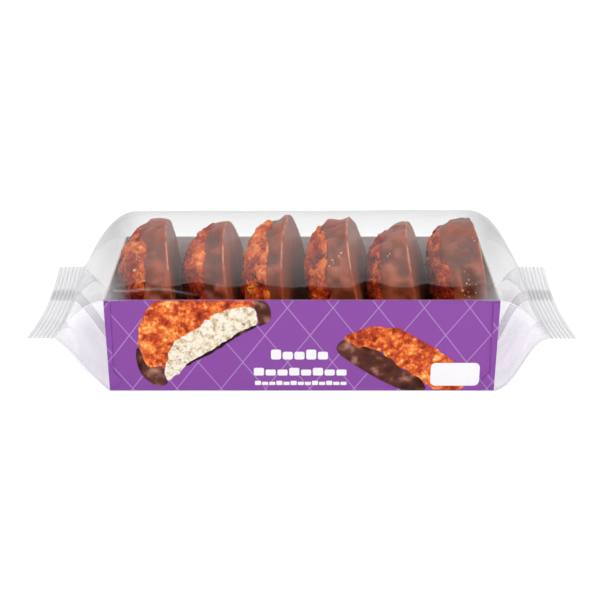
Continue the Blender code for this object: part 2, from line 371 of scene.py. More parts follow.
def card_material():
    """Purple print with a thin lattice, and bare grey-white card inside and on the rim."""
    nodes = Nodes("printed_card")
    parts = nodes.add("SeparateXYZ", {"Vector": nodes.place()}).outputs
    facing = nodes.add("NewGeometry").outputs["Normal"]
    faces = nodes.add("SeparateXYZ", {"Vector": facing}).outputs
    x, y, z = parts
    end_face = nodes.beyond(faces[0], 0.5)
    flat_face = nodes.beyond(faces[2], 0.5)
    across = nodes.add("Mix", {"Factor": end_face, "A": x, "B": y}).outputs["Result"]
    up = nodes.add("Mix", {"Factor": flat_face, "A": z, "B": y}).outputs["Result"]
    proud = nodes.beyond(y, -TRAY_FRONT + TAB_PROUD / 2)
    across = nodes.scaled(proud, TAB_SHIFT_X, across)
    up = nodes.scaled(proud, TAB_SHIFT_Z, up)
    fibre = nodes.noise(nodes.place(), 900.0, 4.0)
    print_color = nodes.mix(lattice(nodes, across, up), solid(PURPLE), solid(LILAC))
    shade = nodes.scaled(fibre, 0.12, 0.94)
    print_color = nodes.mix(0.12, print_color, nodes.mix(shade, (0, 0, 0, 1), print_color))

    inner_x = nodes.math("LESS_THAN", nodes.math("ABSOLUTE", x), TRAY_HALF - CARD * 0.8)
    inner_y = nodes.math("LESS_THAN", nodes.math("ABSOLUTE", y), -TRAY_FRONT - CARD * 0.8)
    inner_z = nodes.math("GREATER_THAN", z, CARD * 0.5)
    inside = nodes.times(nodes.times(inner_x, inner_y), inner_z)
    rim = nodes.math("GREATER_THAN", z, TRAY_TOP - 0.05 * MM)
    behind = nodes.math("GREATER_THAN", y, TRAY_FRONT + CARD * 1.3)
    bare = nodes.math("MAXIMUM", inside, nodes.times(rim, behind))
    card_color = nodes.ramp(fibre, [(0.3, rgb(204, 201, 199)), (0.7, rgb(222, 220, 218))])
    color = nodes.mix(bare, print_color, card_color)
    rough = nodes.scaled(bare, 0.4, PRINT_ROUGHNESS)
    return nodes.finish(Base_Color=color, Roughness=rough,
                        Normal=nodes.bump(fibre, 0.12, 0.0002))


def crust_print_material():
    """The drawn macaroons' toasted crust, as warped clumps and patches."""
    nodes = Nodes("crust_print")
    place = nodes.place()
    warp = nodes.add("TexNoise", {"Vector": place, "Scale": 500.0}).outputs["Color"]
    warped = nodes.add("VectorMath", {0: warp, 1: (0.002, 0.002, 0.002), 2: place},
                       operation="MULTIPLY_ADD").outputs[0]
    clump = nodes.cells(warped, 560.0)
    toast_and_shade = nodes.noise(warped, 210.0, 9.0, 0.78)
    patch = nodes.noise(place, 90.0, 2.0)
    mixed = nodes.scaled(clump, 0.13, toast_and_shade)
    mixed = nodes.scaled(patch, 0.35, mixed)
    color = nodes.ramp(mixed, [(0.54, rgb(255, 236, 176)), (0.62, rgb(255, 182, 88)),
                               (0.7, rgb(244, 116, 36)), (0.78, rgb(198, 64, 20)),
                               (0.9, rgb(112, 26, 8))])
    return nodes.finish(Base_Color=color, Roughness=PRINT_ROUGHNESS)


def grain_material(name, noise, stops, dark=1.0):
    """One noise through a ramp of sRGB colours, for flat print and crumbs."""
    nodes = Nodes(name)
    grain = nodes.noise(nodes.place(), *noise)
    colors = [(place, tuple(part * dark for part in rgb(*color))) for place, color in stops]
    return nodes.finish(Base_Color=nodes.ramp(grain, colors), Roughness=PRINT_ROUGHNESS)


def plain_material(name, color):
    nodes = Nodes(name)
    grain = nodes.noise(nodes.place(), 900.0)
    pale = tuple(min(part * 1.04, 1.0) for part in color)
    color = nodes.ramp(grain, [(0.3, color), (0.7, pale)])
    return nodes.finish(Base_Color=color, Roughness=PRINT_ROUGHNESS)


# Coconut and chocolate

def coconut_material(name, shift=0.0):
    """Toasted coconut: its stored toast and painted shade, with blotches, specks and beads."""
    nodes = Nodes(name)
    place = nodes.place()
    blotch = nodes.noise(place, 160.0, 4.0, 0.6)
    speck = nodes.noise(place, 900.0, 4.0, 0.65)
    bead = nodes.cells(place, 1100.0)
    mixed = nodes.field("toast_and_shade")
    for grain, middle, share in ((blotch, 0.5, 0.7), (speck, 0.5, 0.6), (bead, 0.35, 0.2)):
        mixed = nodes.scaled(nodes.math("SUBTRACT", grain, middle), share, mixed)
    mixed = nodes.math("ADD", mixed, shift)
    relief = nodes.math("SUBTRACT", speck, nodes.times(bead, 0.6))
    color = nodes.ramp(mixed, [(0.08, rgb(255, 176, 78)), (0.34, rgb(230, 112, 34)),
                               (0.6, rgb(176, 52, 12)), (0.95, rgb(114, 25, 7))])
    return nodes.finish(
        Base_Color=color, Roughness=nodes.scaled(speck, 0.3, 0.25),
        Specular_IOR_Level=0.22, Subsurface_Weight=0.1,
        Subsurface_Radius=(0.002, 0.001, 0.0004), Subsurface_Scale=1.0,
        Normal=nodes.bump(relief, 0.7, 0.0009))


def chocolate_material():
    """Milk chocolate: painted shade in the drape's folds and painted highlight on its ridges, red
    where thin, and a pale line of wear and painted highlight along the base's edge.
    """
    nodes = Nodes("milk_chocolate")
    place = nodes.place()
    cloud = nodes.noise(place, 90.0, 4.0, 0.6)
    fine = nodes.noise(place, 1400.0, 3.0, 0.6)
    relief = nodes.field("relief")
    color = nodes.ramp(cloud, [(0.32, rgb(92, 38, 18)), (0.68, rgb(156, 72, 40))])
    patchy = nodes.scaled(fine, 2.2, -0.45)
    # Painted shade in folds and painted highlight on ridges from the relief, red where thin, and a
    # pale edge line, part wear, part painted highlight
    for amount, factor, tone in (
            (relief, -0.4, (54, 18, 8)), (relief, 0.42, (190, 100, 66)),
            (nodes.field("thin"), nodes.times(fine, 1.1), (150, 58, 34)),
            (nodes.field("wear_and_highlight"), patchy, (222, 168, 140))):
        share = nodes.times(amount, factor, clamp=True)
        color = nodes.mix(share, color, solid(rgb(*tone)))
    rough = nodes.scaled(cloud, 0.25, 0.2)
    return nodes.finish(
        Base_Color=color, Roughness=rough, Specular_IOR_Level=0.35, Subsurface_Weight=0.05,
        Subsurface_Radius=(0.001, 0.0005, 0.0003), Subsurface_Scale=1.0,
        Normal=nodes.bump(nodes.mix(0.8, fine, cloud), 0.6, 0.0016))


# Film

def film_material():
    """Clear film: see-through head on, greyer and shinier at a glance, hazy on its folds, where
    the haze also paints a highlight.
    """
    nodes = Nodes("clear_film")
    nodes.tree.nodes.remove(nodes.shader)
    glance = nodes.add("LayerWeight", {"Blend": 0.5}).outputs["Facing"]
    tint = nodes.ramp(glance, [(0.0, (0.995, 0.995, 0.995)), (0.6, (0.955, 0.955, 0.957)),
                               (1.0, (0.80, 0.80, 0.805))])
    shade = nodes.field("shade")
    shaded = nodes.mix(nodes.math("MAXIMUM", shade, 0.0), tint, (0.0, 0.0, 0.0, 1.0))
    cleared = nodes.times(shade, -1.0, clamp=True)
    shaded = nodes.mix(cleared, shaded, (1.0, 1.0, 1.0, 1.0))
    clear = nodes.add("BsdfTransparent", {"Color": shaded}).outputs[0]
    mirror = nodes.add("BsdfPrincipled", {"Base Color": (1, 1, 1, 1), "Metallic": 1.0,
                                          "Roughness": 0.05}).outputs[0]
    rise = nodes.math("POWER", glance, 5.0)
    shine = nodes.scaled(rise, 0.72, 0.046)
    film = nodes.add("MixShader", {0: shine, 1: clear, 2: mirror}).outputs[0]
    haze_and_highlight = nodes.field("haze_and_highlight")
    milk = solid(rgb(246, 246, 248))
    matte = nodes.add("BsdfDiffuse", {"Color": milk}).outputs[0]
    glow = nodes.add("BsdfTranslucent", {"Color": milk}).outputs[0]
    cloudy = nodes.add("MixShader", {0: 0.5, 1: matte, 2: glow}).outputs[0]
    film = nodes.add("MixShader", {0: haze_and_highlight, 1: film, 2: cloudy}).outputs[0]
    nodes.set(nodes.tree.nodes["Material Output"].inputs["Surface"], film)
    return nodes.owner


def film_top(x):
    """Height of the film's top along the pack."""
    along = np.clip((np.abs(x) - SHOULDER_START) / (SEAL_INNER - SHOULDER_START), 0.0, 1.0)
    return HOOD_TOP - (HOOD_TOP - SEAL_HEIGHT) * along ** SHOULDER_POWER


def end_run(x):
    """0 at the tray's end wall and 1 at the seal."""
    return np.clip((np.abs(x) - TRAY_HALF) / (SEAL_INNER - TRAY_HALF), 0.0, 1.0)


def film_width(run):
    """Half the film's width."""
    return FILM_HALF + (SEAL_HALF - FILM_HALF) * run


def lower_edge(x, run):
    """Height of the film's underside, bellied out below a straight climb to the seal."""
    belly = np.where(x < 0, LEFT_BELLY, RIGHT_BELLY)
    climb = run - belly * np.sin(2 * np.pi * run) / (2 * np.pi)
    return -FILM_CLEAR + (SEAL_HEIGHT + FILM_CLEAR) * climb


def sagged(y, z, run):
    """Heights lowered towards the middle of the seal."""
    side = y / film_width(run)
    return z - SEAL_SAG * run ** 2 * (1.0 - side ** 2) * (1.0 + 0.3 * side)


def flat_part(run):
    """0 on the pillow and 1 on the flat seal."""
    return smooth_step(0.985, 1.0, run)


def crimps(x):
    """1 in the crimped part of a seal and 0 outside it, and the height of its ridges."""
    outward = (np.abs(x) - SEAL_INNER) / CRIMP_PITCH
    end = smooth_step(CRIMP_COUNT - 0.35, CRIMP_COUNT, outward)
    ridge = np.sin(2 * np.pi * outward) * CRIMP_HEIGHT
    return smooth_step(0.0, 0.35, outward) * (1.0 - end), ridge


def stretched_noise(points, stretch, seed):
    """Smooth noise whose bumps are as long along X, Y and Z as stretch says in millimetres."""
    return soft_noise(points / np.array(stretch), 1 * MM, seed)


# Rings of points along half the film: hood, pillow and seal
HOOD_RINGS = 46
PILLOW_RINGS = 46
SEAL_RINGS = 54
# Points of each ring: over the arch, in and out of the front gusset, under, and the back
ARCH_POINTS = 112
GUSSET_POINTS = 18
BOTTOM_POINTS = 48
RING = np.arange(ARCH_POINTS + 4 * GUSSET_POINTS + BOTTOM_POINTS - 1)[None, :]
FOLD_FRONT = ARCH_POINTS - 1
LOWER_FRONT = FOLD_FRONT + 2 * GUSSET_POINTS
LOWER_BACK = LOWER_FRONT + BOTTOM_POINTS
ARCH = RING < ARCH_POINTS
GUSSETS = ~ARCH & ((RING <= LOWER_FRONT) | (RING >= LOWER_BACK))
# How milky the line along each fold is, a painted highlight along the fold
FOLDS = ((0, 0.25), (FOLD_FRONT, 0.9), (LOWER_FRONT, 0.3), (LOWER_BACK, 0.25))


def film_stations():
    """Places of the film's rings along X, close together where it is crimped or folded."""
    near_seal = SEAL_INNER - 1 * MM
    hood = np.linspace(0.0, SHOULDER_START, HOOD_RINGS)
    pillow = np.linspace(SHOULDER_START, near_seal, PILLOW_RINGS)[1:]
    seal = np.linspace(near_seal, SEAL_OUTER, SEAL_RINGS)[1:]
    right = np.concatenate([hood, pillow, seal])
    return np.concatenate([-right[:0:-1], right])[:, None]


def film_grid():
    """Points of the film, one closed ring across the pack for each station, and their run."""
    x = film_stations()
    run = end_run(x)
    width = film_width(run)
    upper = TRAY_TOP - (TRAY_TOP - SEAL_HEIGHT) * run ** FOLD_POWER
    lower = lower_edge(x, run)
    middle = GUSSET_HEIGHT + (SEAL_HEIGHT - GUSSET_HEIGHT) * run
    depth = GUSSET_DEPTH * run ** GUSSET_POWER
    power = HOOD_POWER + (PILLOW_POWER - HOOD_POWER) * run
    layer = LAYER_STEP * run ** 6

    share = np.arange(ARCH_POINTS) / (ARCH_POINTS - 1)
    angle = np.pi * (share - 0.08 * np.sin(2 * np.pi * share) / np.pi)[None, :]
    cosine, sine = np.cos(angle), np.maximum(np.sin(angle), 0.0)
    arch_y = width * np.sign(cosine) * np.abs(cosine) ** (2 / power)
    arch_z = upper + (film_top(x) - upper) * sine ** (2 / power) + 1.5 * layer
    step = (((np.arange(GUSSET_POINTS) + 1) / GUSSET_POINTS) ** 1.5)[None, :]
    upper_y, upper_z = -width + depth * step, upper + (middle - upper) * step + layer / 2
    back_step = 1.0 - np.append(step[0, -2::-1], 0.0)[None, :]
    lower_y = -width + depth * (1 - back_step)
    lower_z = middle + (lower - middle) * back_step - layer / 2
    flat = (np.arange(1, BOTTOM_POINTS) / BOTTOM_POINTS)[None, :]
    flat_y, flat_z = width * (2 * flat - 1), lower - 1.5 * layer + 0 * flat
    back_y, back_z = -lower_y[:, ::-1], lower_z[:, ::-1]
    up_y, up_z = -upper_y[:, ::-1], upper_z[:, ::-1]
    y = np.concatenate([arch_y, upper_y, lower_y, flat_y, back_y, up_y], axis=1)
    z = np.concatenate([arch_z, upper_z, lower_z, flat_z, back_z, up_z], axis=1)
    return np.stack(np.broadcast_arrays(x, y, sagged(y, z, run)), axis=-1), run


def crease_film(points, run):
    """The film's points with its tension lines, puckers, pleats and crimps."""
    normals = grid_normals(points)
    x, y, z = np.moveaxis(points, -1, 0)
    hood = ARCH * smooth_step(TRAY_TOP - 1 * MM, TRAY_TOP + 6 * MM, z)
    hood = hood * (1.0 - smooth_step(0.75, 1.0, run))
    swell = 0.34 * stretched_noise(points, (40, 15, 15), 3)
    swell = swell + 0.07 * stretched_noise(points, (14, 6, 5), 4)
    rim_ripple = bell(z, TRAY_TOP + 4 * MM, 3.5 * MM) * (y < 0)
    ripple = 0.25 * stretched_noise(points, (15, 50, 4.5), 5)
    scallop = 0.7 * np.abs(np.cos(np.pi * (x - SCALLOP_START) / SCALLOP_PITCH)) - 0.35
    push = hood * (swell - 0.3 + rim_ripple * (ripple + scallop))

    pillow = smooth_step(0.02, 0.35, run) * (1.0 - smooth_step(0.9, 1.0, run))
    pleat = 0.14 * stretched_noise(points, (42, 4.2, 26), 6)
    push = push + pillow * (pleat + 0.4 * stretched_noise(points, (30, 13, 16), 8))
    creased = points + normals * push[..., None] * MM

    crimped, ridge = crimps(x)
    wobble = 0.12 * MM * stretched_noise(points, (40, 16, np.inf), 9)
    creased[..., 2] += flat_part(run) * (crimped * ridge + wobble)
    return creased


def film_haze_and_highlight(points, run):
    """How milky the film is, with painted highlights: clear on the tray, soft milky lines of
    painted highlight on folds, more on the crimps, with a painted highlight on each crest.
    """
    flat = flat_part(run)
    x, y, z = np.moveaxis(points, -1, 0)
    free = smooth_step(TRAY_TOP + 2 * MM, TRAY_TOP + 7 * MM, z)
    haze_and_highlight = free * (0.004 + 0.003 * soft_noise(points * np.array([1.0, 1.0, 3.0]), 6 * MM, 11))
    side = np.where(ARCH, 0.15, np.where(RING > LOWER_BACK, 0.03, 0.17))
    haze_and_highlight = haze_and_highlight + side * smooth_step(0.0, 0.3, run)
    crease = 0.8 + 0.2 * (0.5 - 0.5 * y / SEAL_HALF)
    haze_and_highlight = haze_and_highlight + 0.1 * ARCH * smooth_step(0.0, 0.02, run - crease) * (1.0 - flat)
    for fold, strength in FOLDS:
        away = np.minimum(np.abs(RING - fold), RING.size - np.abs(RING - fold))
        line = bell(away, 0.0, 1.0) * smooth_step(0.0, 0.03, run)
        haze_and_highlight = haze_and_highlight + strength * line * (1.0 - flat)

    # Milkier film at each front corner, and a bent line of painted shine at the left
    front = ARCH * (y < 0.0) * (run <= 0.0)
    corner = smooth_step(68 * MM, 76 * MM, np.abs(x))
    corner = corner * smooth_step(TRAY_TOP + 16 * MM, TRAY_TOP, z)
    bend = 4.3 - 1.3 * smooth_step(-58 * MM, -44 * MM, x) + 0.5 * np.sin(x / (5 * MM))
    streak = bell((z - TRAY_TOP) / MM, bend, 0.35) * (x > -76 * MM)
    streak = streak * smooth_step(-38 * MM, -56 * MM, x)
    haze_and_highlight = haze_and_highlight + front * (0.28 * corner + 0.2 * streak)

    # Milky seals, with a painted highlight along each crimp's crest
    crimped, ridge = crimps(film_stations())
    crest = smooth_step(-0.5, 1.0, ridge / CRIMP_HEIGHT)
    haze_and_highlight = haze_and_highlight + ARCH * flat * (0.05 + crimped * (0.08 + 0.3 * crest))
    return np.clip(haze_and_highlight * np.where(GUSSETS, 1.0 - flat, 1.0), 0.0, 1.0)


def film_shade(points, run):
    """How much the film dims what is behind it, or how much it is cleared, below zero."""
    flat = flat_part(run)
    shoulder = smooth_step(66 * MM, 84 * MM, np.abs(points[..., 0]))
    veiled = ARCH | (RING >= LOWER_BACK)
    shade = veiled * (0.1 + 0.18 * shoulder) * (1.0 - smooth_step(0.1, 0.8, run))
    ends = 0.07 * smooth_step(0.1, 0.5, run) + 0.36 * smooth_step(0.9, 1.0, run)
    outline = bell(RING, LOWER_FRONT, 1.5) * smooth_step(0.0, 0.05, run)
    shade = shade + ARCH * ends + 0.03 + 0.22 * outline * (1.0 - flat)
    clearing = np.where(RING <= FOLD_FRONT + GUSSET_POINTS + 7, 0.8, 0.0)
    clearing = clearing * smooth_step(0.0, 0.2, run) * (1.0 - flat) + flat
    return np.where(GUSSETS & (clearing > 0.0), -clearing, shade)


def build_film(material):
    points, run = film_grid()
    points = crease_film(points, run)
    fields = {"haze_and_highlight": film_haze_and_highlight(points, run), "shade": film_shade(points, run)}
    film = mesh_object("film_wrap", points.reshape(-1, 3), tube_faces(*points.shape[:2]),
                       material, fields=fields)
    film.data.set_sharp_from_angle(angle=math.radians(50.0))
    return film


def build_seam(material):
    """The flat flap of the film's long seam, along the underside and out to both seals."""
    x = film_stations()
    run = end_run(x)
    y = SEAM_START + SEAM_DRIFT * run + np.linspace(0.0, SEAM_WIDTH, 9)[None, :]
    drop = SEAM_DROP + 1.5 * LAYER_STEP * run ** 6
    crimped, ridge = crimps(x)
    z = sagged(y, lower_edge(x, run), run) - drop + crimped * ridge
    top = np.stack(np.broadcast_arrays(x, y, z), axis=-1)
    low = top[:, ::-1] - np.array([0.0, 0.0, SEAM_THICK])
    ring = np.concatenate([top, low], axis=1)
    crimped = crimped + 0 * ring[..., 0]
    fields = {"haze_and_highlight": 0.12 - 0.1 * crimped, "shade": 0.04 + 0.14 * crimped}
    return mesh_object("film_seam", ring.reshape(-1, 3), tube_faces(*ring.shape[:2]), material,
                       fields=fields)


# Macaroons

# Seen on the photo. Angles are degrees from the top of a macaroon's base towards the back.
# Changes of the chocolate's lip: angle, change in millimetres, spread in degrees
LIP_CHANGES = {
    1: ((-25, -4.8, 13), (-48, -1.6, 12), (-6, -1.2, 9), (16, -3.0, 15)),
    2: ((-36, 1.0, 10), (-58, 3.6, 14)),
    3: ((-18, 1.2, 16), (18, 3.4, 15)),
    4: ((-18, -4.4, 16), (-40, -2.4, 10), (-66, -2.0, 10)),
    5: ((-8, -2.4, 10), (-44, 1.4, 9), (-62, 3.4, 14)),
    6: ((-18, 2.3, 16), (-44, -0.8, 10), (-66, -1.0, 12)),
}
# How much darker each one is baked
TOASTED = {1: 0.18, 2: 0.29, 3: -0.03, 4: 0.13, 5: 0.33, 6: 0.35}
# Swellings: angle, height and push in millimetres, spread in degrees and in millimetres
SWELLINGS = {
    1: ((-20, 14, -0.8, 16, 5),),
    2: ((-36, 17, 2.2, 12, 6), (-52, 18, 1.2, 10, 6)),
    3: ((5, 14, 0.9, 14, 5), (-46, 18, 1.8, 12, 6)),
    4: ((20, 10, 1.2, 18, 3),),
    5: ((-50, 18, 0.8, 10, 5),),
    6: ((20, 7, 1.0, 22, 5), (-8, 17, -1.6, 14, 5)),
}

PROFILE_SIDES = 36
# Degrees over which measured values are averaged
AVERAGED = (-12.0, -6.0, 0.0, 6.0, 12.0)
# Sizes of the coconut's bumps in millimetres, how far each bump reaches as a share of its
# size, and how far apart in the noise two macaroons are taken
BROAD_SIZE, HEAP_SIZE, BEAD_SIZE, GRAIN_SIZE = 11.0, 5.8, 2.3, 1.15
BUMP_REACH = 0.82
NOISE_SHIFT = 40.0
# Room left to the tray's walls and floor, to the film and to the next macaroon's base
WALL_GAP = 0.3 * MM
FLOOR_GAP = 0.1 * MM
FILM_GAP = 1.5 * MM
BASE_GAP = 0.35 * MM
# Rings of points round each piece of a macaroon, and the points of one ring
BODY_RINGS = 88
BODY_SIDES = 340
COAT_SIDES = 260
BASE_RINGS = 16
EDGE_RINGS = 8
CLIMB_RINGS = 38
INNER_RINGS = 8
EDGE_RADIUS = 0.6 * MM
COAT_WALL = 0.9 * MM
LIP_BULGE = 0.3 * MM
# The flat base's relief value: a painted highlight that makes it lighter, as on the ridges
BASE_RELIEF_LIGHT = 0.9


def turn_between(angle, degrees):
    """Signed difference in degrees between angles in radians and one in degrees."""
    return np.mod(np.degrees(angle) - degrees + 180.0, 360.0) - 180.0


class Macaroon:
    """One macaroon as measured on its two solids: its place, outline, dome and lip."""

    def __init__(self, index):
        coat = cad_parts[f"chocolate_{index}"]
        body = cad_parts[f"macaroon_{index}"]
        self.index = index
        self.place = self.base_frame(coat.data.polygons)
        coat_points, body_points = (
            moved(np.array([vert.co for vert in solid_part.data.vertices]), self.place.inverted())
            for solid_part in (coat, body))
        self.thick = body_points[:, 2].max()
        reach, angle = reach_and_angle(coat_points)
        bins = np.round(angle / (2 * np.pi) * PROFILE_SIDES).astype(int) % PROFILE_SIDES
        sides = [bins == side for side in range(PROFILE_SIDES)]
        self.outer = np.array([reach[side].max() for side in sides])
        self.lips = np.array([coat_points[side, 2].max() for side in sides]) - LIP_BULGE
        self.core = float(np.median(self.outer))
        self.power = self.dome_power(body_points)

    def base_frame(self, faces):
        """World matrix of the flat base: local X up it, Y to the back, Z out of the dome."""
        middles, normals, areas = (np.array([getattr(face, key) for face in faces])
                                   for key in ("center", "normal", "area"))
        facing = np.array([1.0, 0.0, 0.0])
        for closeness in (0.9, 0.96, 0.985):
            base = normals @ facing > closeness
            facing = (normals[base] * areas[base, None]).sum(axis=0)
            facing /= np.linalg.norm(facing)
        middle = (middles[base] * areas[base, None]).sum(axis=0) / areas[base].sum()
        facing = Vector(facing)
        back = Vector((0.0, 0.0, 1.0)).cross(facing).normalized()
        up = facing.cross(back)
        matrix = Matrix((up, back, -facing)).transposed().to_4x4()
        matrix.translation = Vector(middle)
        return matrix

    def dome_power(self, points):
        """The dome's boxiness that fits its solid best."""
        reach, angle = reach_and_angle(points)
        dome = points[:, 2] > self.lip(angle) + 1 * MM
        share = np.clip(points[dome, 2] / self.thick, 0.0, 1.0)
        part = reach[dome] / self.radius(angle[dome], share)
        choices = np.linspace(1.8, 4.5, 28)
        misses = [np.abs(part ** p + share ** p - 1.0).mean() for p in choices]
        return float(choices[int(np.argmin(misses))])

    def around(self, values, angle):
        """Measured values between their angles, with the corners rounded off."""
        angles = 2 * np.pi * np.arange(PROFILE_SIDES + 1) / PROFILE_SIDES
        return sum(np.interp(np.mod(angle + away, 2 * np.pi), angles, np.append(values, values[0]))
                   for away in np.radians(AVERAGED)) / len(AVERAGED)

    def radius(self, angle, share=0.0):
        """Radius of the base at an angle; a pointed tip fades up the dome."""
        extra = self.around(self.outer, angle) - self.core
        return self.core + extra * (1.0 - share) ** 2

    def lip(self, angle):
        return self.around(self.lips, angle)

    def shell(self, angle, height):
        """Radius of the dome at an angle and a height, with its swellings."""
        share = np.clip(height / self.thick, 0.0, 1.0)
        reach = self.radius(angle, share) * (1.0 - share ** self.power) ** (1 / self.power)
        for place, level, push, spread, tall in SWELLINGS[self.index]:
            near = bell(turn_between(angle, place), 0.0, spread) * bell(height / MM, level, tall)
            reach = reach + push * MM * near * (1.0 - share ** 4)
        return reach

    def dome_height(self, low, share):
        """Height on the dome, from a low share of its thickness (0) to its tip (1)."""
        lift = np.arcsin(low ** (self.power / 2))
        turn = lift + (np.pi / 2 - lift) * share
        return self.thick * np.sin(turn) ** (2 / self.power)

    def coat_reach(self, angle, height):
        """How far out the draped chocolate stands at one spot."""
        reach, turn = reach_and_angle(self.coat)
        miss = np.hypot((turn - angle) * self.core, self.coat[..., 2] - height)
        return reach.ravel()[np.argmin(miss)]

    def lip_line(self, angle):
        """The chocolate's real edge: the solid's lip with tongues and bays."""
        ring = polar(1.0, angle, self.index)
        tongue = 1.5 * soft_noise(ring, 0.24, 21) + 1.0 * soft_noise(ring, 0.09, 22)
        for place, change, spread in LIP_CHANGES[self.index]:
            tongue = tongue + change * bell(turn_between(angle, place), 0.0, spread)
        return self.lip(angle) + tongue * MM

    def to_world(self, points, depth=0.0):
        """World points, pressed flat where they would pass through the tray or the film."""
        world = moved(points, self.place)
        for axis, wall in enumerate((TRAY_HALF, -TRAY_FRONT)):
            limit = wall - CARD - WALL_GAP - depth
            world[..., axis] = np.clip(world[..., axis], -limit, limit)
        world[..., 2] = np.maximum(world[..., 2], CARD + FLOOR_GAP + depth)
        over = np.maximum(world[..., 2] - TRAY_TOP, 0.0) / (HOOD_TOP - TRAY_TOP - FILM_GAP - depth)
        side = np.abs(world[..., 1]) / (FILM_HALF - FILM_GAP - depth)
        fill = (over ** HOOD_POWER + side ** HOOD_POWER) ** (1.0 / HOOD_POWER)
        pull = np.where(over > 0.0, np.maximum(fill, 1.0), 1.0)
        world[..., 1] /= pull
        eased = TRAY_TOP + (world[..., 2] - TRAY_TOP) / pull
        world[..., 2] = np.where(over > 0.0, eased, world[..., 2])
        return world


def clear_of(world, macaroon):
    """World points kept off the flat base of the macaroon to their left."""
    matrix = np.array(macaroon.place)
    local = (world - matrix[:3, 3]) @ matrix[:3, :3]
    near = reach_and_angle(local)[0] < macaroon.core + 1 * MM
    local[..., 2] = np.where(near, np.minimum(local[..., 2], -BASE_GAP), local[..., 2])
    return moved(local, matrix)


def domes(spots, spacing, seed):
    """Rounded bumps packed side by side, 0 in the creases and 1 on top, and their values."""
    away, value = cell_noise(spots, spacing, seed)
    return np.sqrt(np.clip(1.0 - (away / BUMP_REACH) ** 2, 0.0, 1.0)), value


def lumps(spots):
    """The large bumps of the baked coconut, which the chocolate follows too."""
    broad = soft_noise(spots, BROAD_SIZE, 33)
    heap, shade = domes(spots, HEAP_SIZE, 34)
    return broad + 3.0 * (heap - 0.62), heap, shade


def crags(points, index):
    """Baked coconut: how high each spot stands, in millimetres, and how dark it is: toasted, with
    painted shade in the creases between its bumps.
    """
    spots = points / MM + NOISE_SHIFT * index
    warp = np.stack([soft_noise(spots, 3.4, 30 + n) for n in range(3)], axis=-1)
    spots = spots + 1.1 * warp
    large, heap, shade = lumps(spots)
    bead, tone = domes(spots, BEAD_SIZE, 38)
    grain, _ = domes(spots, GRAIN_SIZE, 42)
    height = large + 0.95 * (bead - 0.6) + 0.35 * (grain - 0.5)
    relief = 0.58 * heap + 0.28 * bead + 0.14 * grain
    patch = soft_noise(spots, 8.0, 46)
    # Painted shade: spots low in the relief, in the creases between bumps, are made darker; the
    # rest is toast at random
    toast_and_shade = 0.92 - 0.65 * relief + 0.22 * (shade - 0.5) + 0.16 * (tone - 0.5) + 0.16 * patch
    return height, toast_and_shade


def low_painted_shade(world):
    """Painted shade: the lower parts of the coconut, in the tray, are darker and browner."""
    return 0.18 * smooth_step(TRAY_TOP + 9 * MM, TRAY_TOP - 1 * MM, world[..., 2])


def build_body(macaroon, left, material):
    """The coconut body from just under the chocolate's lip to the tip of the dome."""
    angle = ring_angles(BODY_SIDES)
    lip = macaroon.lip_line(angle)
    start = np.clip(np.clip(lip - 3 * MM, 2 * MM, None) / macaroon.thick, 0.0, 0.98)
    height = macaroon.dome_height(start, (np.arange(BODY_RINGS) / BODY_RINGS)[:, None])
    points = polar(macaroon.shell(angle, height), angle, height)
    normals = -grid_normals(points)
    normals *= np.sign((normals * points).sum(axis=-1, keepdims=True))
    rise, toast_and_shade = crags(points, macaroon.index)
    bare = smooth_step(-1.8 * MM, 0.4 * MM, height - lip)
    push = bare * (rise + 0.3) - (1.0 - bare) * 3.0
    points = points + normals * push[..., None] * MM
    ends = [(0.0, 0.0, points[0, :, 2].mean()), (0.0, 0.0, points[-1, :, 2].mean() + 0.1 * MM)]
    world = macaroon.to_world(np.concatenate([points.reshape(-1, 3), ends]), 0.2 * MM)
    # Each macaroon's own toast, lighter near the lip, plus painted shade on the parts low in the
    # tray
    toast_and_shade = toast_and_shade + TOASTED[macaroon.index] - 0.16 * smooth_step(9 * MM, 2 * MM, height - lip)
    toast_and_shade = np.append(toast_and_shade, [0.5, 0.5]) + low_painted_shade(world)
    if left:
        world = clear_of(world, left)
    return mesh_object(f"coconut_{macaroon.index}", world, domed_faces(BODY_RINGS, BODY_SIDES),
                       material, fields={"toast_and_shade": toast_and_shade})


